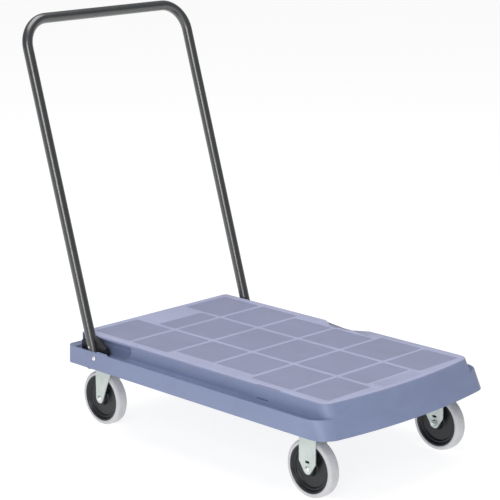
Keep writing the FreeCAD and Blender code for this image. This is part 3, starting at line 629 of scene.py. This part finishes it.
@dataclass
class PushHandle:
    """The U-shaped tube and its two feet."""

    pivot: Vector = field(default_factory=lambda: Vector((-243.6, 0.0, 175.5)) * MM)
    offset: float = 16.0 * MM
    lean: float = math.radians(16.7)
    leg_y: float = 243.0 * MM
    length: float = 780.0 * MM
    bend: float = 66.0 * MM
    radius: float = 12.0 * MM
    start: float = 5.2 * MM
    sides: int = 40
    bend_steps: int = 20
    foot_edge: float = 0.7 * MM

    def build(self, paint: bpy.types.Material, black: bpy.types.Material, steel: bpy.types.Material) -> None:
        """Build the handle.

        Args:
            paint: the tube's finish.
            black: the feet's finish.
            steel: the rivets' finish.
        """
        self.build_tube(paint)
        for side in SIDES:
            foot = Workpiece(f"foot_moulding_{side}", "handle", "black_plastic")
            foot.take(f"handle_foot_{side}")
            foot.done(black, (f"handle_foot_{side}",), bevel=self.foot_edge, segments=3)
        dress("foot_rivets", steel)

    def build_tube(self, paint: bpy.types.Material) -> None:
        """Carry one ring up a leg, round both bends and down the other leg.

        Args:
            paint: the tube's finish.
        """
        along = Vector((-math.sin(self.lean), 0, math.cos(self.lean)))
        behind = Vector((-math.cos(self.lean), 0, -math.sin(self.lean)))
        foot = self.pivot + behind * self.offset - Vector((0, self.leg_y, 0))
        piece = Workpiece("grip_tube", "handle", "tube_paint")
        mesh = piece.mesh
        place = Matrix.Translation(foot + along * self.start) @ Matrix.Rotation(-self.lean, 4, "Y")
        ring = bmesh.ops.create_circle(mesh, cap_ends=False, segments=self.sides, radius=self.radius,
                                       matrix=place)["verts"]
        edges = list({edge for vert in ring for edge in vert.link_edges})
        straight = self.length - self.bend - self.start
        across = Vector((0, 2 * (self.leg_y - self.bend), 0))
        lower = foot + along * (self.length - self.bend)
        edges = self.extend(mesh, edges, along * straight)
        edges = self.bend_round(mesh, edges, lower + Vector((0, self.bend, 0)), behind)
        edges = self.extend(mesh, edges, across)
        edges = self.bend_round(mesh, edges, lower + Vector((0, 2 * self.leg_y - self.bend, 0)), behind)
        self.extend(mesh, edges, along * -straight)
        bmesh.ops.remove_doubles(mesh, verts=mesh.verts, dist=SEAM)
        ends = [edge for edge in mesh.edges if edge.is_boundary]
        bmesh.ops.holes_fill(mesh, edges=ends, sides=0)
        piece.done(paint, ("handle_tube",))

    @staticmethod
    def extend(mesh: bmesh.types.BMesh, edges: list, way: Vector) -> list:
        """Extrude a ring straight.

        Args:
            mesh: the mesh.
            edges: the ring's edges.
            way: how far and which way.

        Returns:
            The new ring's edges.
        """
        made = bmesh.ops.extrude_edge_only(mesh, edges=edges)["geom"]
        bmesh.ops.translate(mesh, verts=[g for g in made if isinstance(g, bmesh.types.BMVert)], vec=way)
        return [g for g in made if isinstance(g, bmesh.types.BMEdge) and g.is_boundary]

    def bend_round(self, mesh: bmesh.types.BMesh, edges: list, centre: Vector, axis: Vector) -> list:
        """Turn a ring a quarter round a bend.

        Args:
            mesh: the mesh.
            edges: the ring's edges.
            centre: centre of the bend.
            axis: axis of the bend.

        Returns:
            The new ring's edges.
        """
        verts = list({vert for edge in edges for vert in edge.verts})
        made = bmesh.ops.spin(mesh, geom=verts + edges, cent=centre, axis=axis, angle=math.pi / 2,
                              steps=self.bend_steps, use_merge=False, use_duplicate=False)["geom_last"]
        return [g for g in made if isinstance(g, bmesh.types.BMEdge)]


@dataclass
class Wheel:
    """One wheel on its axle: tyre, stepped hub, sleeve, bolt and nut.

    The tables of corners are in millimetres. shoulder: (in from the flank, below the tread).
    hub_rim: (in from the hub's face, radius). hub_dish: (out from the middle, radius).
    bolt_head and bolt_end: (out from the fork, radius).
    """

    name: str
    body: str
    holder: str
    out: int
    steps: int = 112
    half: float = 13.8 * MM
    tyre_r: float = 63.5 * MM
    tyre_edge: float = 0.35 * MM
    bead: tuple = (0.3 * MM, 0.8 * MM)
    shoulder: tuple = ((0.0, 5.2), (0.9, 2.9), (2.6, 1.2), (5.0, 0.4), (9.0, 0.05))
    hub_r: float = 53.8 * MM
    hub_inset: float = 0.5 * MM
    hub_edge: float = 0.5 * MM
    hub_rim: tuple = ((0.0, 50.6), (1.2, 49.4))
    hub_dish: tuple = ((8.4, 47.4), (7.6, 45.2), (8.2, 44.6), (8.2, 43.0), (6.0, 42.0), (4.6, 40.4),
                       (4.6, 18.0), (6.0, 16.4), (13.6, 13.6), (14.5, 12.6))
    boss: float = 14.5 * MM
    bore: float = 6.05 * MM
    fork_out: float = 18.0 * MM
    bolt_head: tuple = ((3.6, 0.0), (3.5, 2.2), (2.9, 4.2), (1.8, 5.5), (0.8, 6.2), (0.05, 6.2), (0.05, 4.0))
    bolt_end: tuple = ((7.6, 4.0), (8.0, 3.5), (8.0, 0.0))
    bolt_steps: int = 40
    nut_edge: float = 0.4 * MM

    def build(self, steel: bpy.types.Material, zinc: bpy.types.Material) -> None:
        """Build the wheel.

        Args:
            steel: finish of the bolt and the sleeve.
            zinc: finish of the nut.
        """
        centre = centre_of(f"tyre_{self.name}")
        rubber = GreyRubber(centre.x, centre.z, f"grey_rubber_{self.name}").material()
        plastic = HubPlastic(centre.x, centre.z, f"hub_plastic_{self.name}").material()
        self.build_tyre(centre, rubber)
        self.build_hub(centre, plastic)
        self.build_bolt(centre, steel)
        dress(f"axle_sleeve_{self.name}", steel)
        nut = Workpiece(f"axle_nut_turned_{self.name}", self.holder, "zinc")
        nut.take(f"axle_nut_{self.name}")
        nut.done(zinc, (f"axle_nut_{self.name}",), bevel=self.nut_edge)

    def build_tyre(self, centre: Vector, rubber: bpy.types.Material) -> None:
        """Turn the tyre: slightly crowned tread with rounded shoulders and a bead where it meets the hub.

        Args:
            centre: the middle of the wheel.
            rubber: the tyre's finish.
        """
        bead_in, bead_up = self.bead
        flank = [(self.half - bead_in, self.hub_r), (self.half, self.hub_r + bead_up)]
        flank += [(self.half - inset * MM, self.tyre_r - drop * MM) for inset, drop in self.shoulder]
        crown = [(0.0, self.tyre_r)]
        profile = flank + crown + [(-along, radius) for along, radius in reversed(flank)]
        piece = Workpiece(f"tyre_rubber_{self.name}", self.body, "tyre_grey")
        piece.turn(profile, centre, self.steps)
        piece.done(rubber, (f"tyre_{self.name}",), bevel=self.tyre_edge, crease=28.0)

    def build_hub(self, centre: Vector, plastic: bpy.types.Material) -> None:
        """Turn the hub: rim, stepped dish, web, raised ring and boss.

        Args:
            centre: the middle of the wheel.
            plastic: the hub's finish.
        """
        side = self.half - self.hub_inset
        face = [(side, self.hub_r)]
        face += [(side - inset * MM, radius * MM) for inset, radius in self.hub_rim]
        face += [(along * MM, radius * MM) for along, radius in self.hub_dish]
        face += [(self.boss, self.bore)]
        piece = Workpiece(f"hub_moulding_{self.name}", self.body, "black_plastic")
        piece.turn(mirrored(face), centre, self.steps)
        piece.done(plastic, (f"wheel_hub_{self.name}",), bevel=self.hub_edge, segments=3, crease=24.0)

    def build_bolt(self, centre: Vector, steel: bpy.types.Material) -> None:
        """Turn the axle bolt with its low domed head and the ring of its washer face.

        Args:
            centre: the middle of the wheel.
            steel: the bolt's finish.
        """
        profile = [(self.fork_out + out * MM, radius * MM) for out, radius in self.bolt_head]
        profile += [(-self.fork_out - out * MM, radius * MM) for out, radius in self.bolt_end]
        piece = Workpiece(f"axle_bolt_turned_{self.name}", self.holder, "zinc")
        piece.turn([(self.out * along, radius) for along, radius in profile], centre, self.bolt_steps)
        piece.done(steel, (f"axle_bolt_{self.name}",))


class CasterKind(Enum):
    """Which way a caster is held."""

    SWIVEL = "swivel"
    RIGID = "rigid"


@dataclass
class Caster:
    """A caster's plate, races and fork."""

    kind: CasterKind
    side: str
    edge: float = 0.5 * MM
    lever_edge: float = 0.8 * MM

    def build(self, zinc: bpy.types.Material, black: bpy.types.Material, steel: bpy.types.Material) -> None:
        """Build the caster.

        Args:
            zinc: finish of the pressings.
            black: finish of the brake lever.
            steel: finish of the pins and balls.
        """
        if self.kind is CasterKind.RIGID:
            self.refine(f"rigid_fork_{self.side}", "deck", zinc)
            return
        turning = f"swivel_{self.side}"
        self.refine(f"swivel_fork_{self.side}", turning, zinc)
        self.refine(f"lower_race_{self.side}", turning, zinc)
        self.refine(f"caster_plate_{self.side}", "deck", zinc)
        self.refine(f"upper_race_{self.side}", "deck", zinc)
        dress(f"race_balls_{self.side}", steel)
        dress(f"kingpin_{self.side}", steel)
        lever = Workpiece(f"brake_pedal_{self.side}", f"brake_{self.side}", "black_plastic")
        lever.take(f"brake_lever_{self.side}")
        lever.done(black, (f"brake_lever_{self.side}",), bevel=self.lever_edge, segments=3)
        dress(f"brake_pin_{self.side}", steel)

    def refine(self, node: str, body: str, zinc: bpy.types.Material) -> None:
        """Round a pressing's edges.

        Args:
            node: the part's name.
            body: the body that it rides on.
            zinc: its finish.
        """
        piece = Workpiece(f"{node}_pressed", body, "zinc")
        piece.take(node)
        piece.done(zinc, (node,), bevel=self.edge)


@dataclass
class Fasteners:
    """Pivot bolts, nuts and caster screws.

    head is a table of (out from the foot, radius) corners in millimetres.
    """

    head_at: float = 260.0 * MM
    head: tuple = ((3.0, 0.0), (2.8, 1.8), (2.1, 3.6), (1.1, 4.9), (0.05, 5.3), (0.05, 4.0))
    end_at: float = 218.6 * MM
    shank_r: float = 4.0 * MM
    steps: int = 40
    edge: float = 0.4 * MM

    def build(self, steel: bpy.types.Material, zinc: bpy.types.Material) -> None:
        """Build the fasteners.

        Args:
            steel: finish of the pivot bolts.
            zinc: finish of nuts and screws.
        """
        for side, sign in SIDES.items():
            centre = centre_of(f"pivot_bolt_{side}")
            centre.y = 0.0
            profile = [(self.head_at + out * MM, radius * MM) for out, radius in self.head]
            profile += [(self.end_at, self.shank_r), (self.end_at, 0.0)]
            bolt = Workpiece(f"pivot_bolt_turned_{side}", "deck", "bright_steel")
            bolt.turn([(sign * along, radius) for along, radius in profile], centre, self.steps)
            bolt.done(steel, (f"pivot_bolt_{side}",))
            dress(f"pivot_bush_{side}", steel)
        for node in ("pivot_nuts", "caster_screws"):
            piece = Workpiece(f"{node}_formed", "deck", "zinc")
            piece.take(node)
            piece.done(zinc, (node,), bevel=self.edge)


@dataclass(frozen=True)
class Lamp:
    """A rectangular lamp: place, size of its face and power in watts."""

    name: str
    spot: tuple[float, float, float]
    spread: tuple[float, float]
    power: float

    def hang(self, target: Vector) -> None:
        """Hang the lamp and face it towards the cart.

        Args:
            target: the place that it faces.
        """
        lamp = bpy.data.lights.new(self.name, "AREA")
        lamp.shape = "RECTANGLE"
        lamp.size, lamp.size_y = self.spread
        lamp.energy = self.power
        thing = bpy.data.objects.new(self.name, lamp)
        thing.location = self.spot
        thing.rotation_euler = (target - Vector(self.spot)).to_track_quat("-Z", "Y").to_euler()
        bpy.context.scene.collection.objects.link(thing)


@dataclass
class Studio:
    """Floor, lights and camera."""

    floor_half: float = 40.0
    lamps: tuple[Lamp, ...] = (Lamp("top_light", (-0.3, -0.1, 4.2), (3.2, 3.2), 112.0),
                               Lamp("strip_light", (2.2, -3.3, 1.9), (1.5, 2.6), 74.0))
    lamp_target: Vector = field(default_factory=lambda: Vector((0, 0, 0.3)))
    surroundings: float = 0.30
    azimuth: float = math.radians(45.785)
    height: float = math.radians(13.673)
    roll: float = math.radians(-0.533)
    distance: float = 4.11257
    rise: float = 0.11858
    aim: Vector = field(default_factory=lambda: Vector((-0.00311, 0.0, 0.300)))
    lens: float = 131.84
    sensor: float = 36.0
    farthest: float = 200.0

    def build(self) -> None:
        """Build the studio."""
        self.build_floor()
        self.build_lights()
        self.build_camera()

    def build_floor(self) -> None:
        """Lay a wide floor under the cart."""
        mesh = bmesh.new()
        bmesh.ops.create_grid(mesh, x_segments=2, y_segments=2, size=self.floor_half)
        data = bpy.data.meshes.new("studio_floor")
        mesh.to_mesh(data)
        mesh.free()
        data.materials.append(StudioFloor().material())
        floor = bpy.data.objects.new("studio_floor", data)
        bpy.context.scene.collection.objects.link(floor)

    def build_lights(self) -> None:
        """Hang a broad light overhead and a tall strip beside the camera, and set the surroundings."""
        for lamp in self.lamps:
            lamp.hang(self.lamp_target)
        world = bpy.data.worlds.new("studio_surroundings")
        world.use_nodes = True
        background = next(n for n in world.node_tree.nodes if n.type == "BACKGROUND")
        background.inputs["Color"].default_value = (1.0, 1.0, 1.0, 1.0)
        background.inputs["Strength"].default_value = self.surroundings
        bpy.context.scene.world = world
        bpy.context.scene.view_settings.view_transform = "Standard"

    def build_camera(self) -> None:
        """Stand the camera in front of the right front corner."""
        back = Vector((math.sin(self.azimuth) * math.cos(self.height),
                       -math.cos(self.azimuth) * math.cos(self.height), math.sin(self.height)))
        right = Vector((math.cos(self.azimuth), math.sin(self.azimuth), 0))
        up = back.cross(right)
        turned_right = right * math.cos(self.roll) + up * math.sin(self.roll)
        turned_up = up * math.cos(self.roll) - right * math.sin(self.roll)
        spot = self.aim + turned_up * self.rise + back * self.distance
        lens = bpy.data.cameras.new("camera")
        lens.lens = self.lens
        lens.sensor_width = self.sensor
        lens.clip_end = self.farthest
        camera = bpy.data.objects.new("camera", lens)
        camera.matrix_world = Matrix.Translation(spot) @ Matrix(
            (turned_right, turned_up, back)).transposed().to_4x4()
        bpy.context.scene.collection.objects.link(camera)
        bpy.context.scene.camera = camera


def main() -> None:
    """Build the cart and its studio."""
    logging.basicConfig(level=logging.INFO, format="%(name)s: %(message)s")
    deck_plastic = DeckPlastic().material()
    paint = BlackPaint().material()
    black = BlackMoulding().material()
    zinc = ZincPlate().material()
    steel = ZincPlate(name="bright_steel", bright=(0.86, 0.87, 0.86, 1.0), dull=(0.60, 0.61, 0.61, 1.0),
                      metal=0.85).material()
    Deck().build(deck_plastic, black, steel)
    PushHandle().build(paint, black, steel)
    for side, sign in SIDES.items():
        Caster(CasterKind.SWIVEL, side).build(zinc, black, steel)
        Caster(CasterKind.RIGID, side).build(zinc, black, steel)
        Wheel(f"rear_{side}", f"wheel_rear_{side}", f"swivel_{side}", sign).build(steel, zinc)
        Wheel(f"front_{side}", f"wheel_front_{side}", "deck", sign).build(steel, zinc)
    Fasteners().build(steel, zinc)
    Studio().build()


if __name__ == "__main__":
    main()
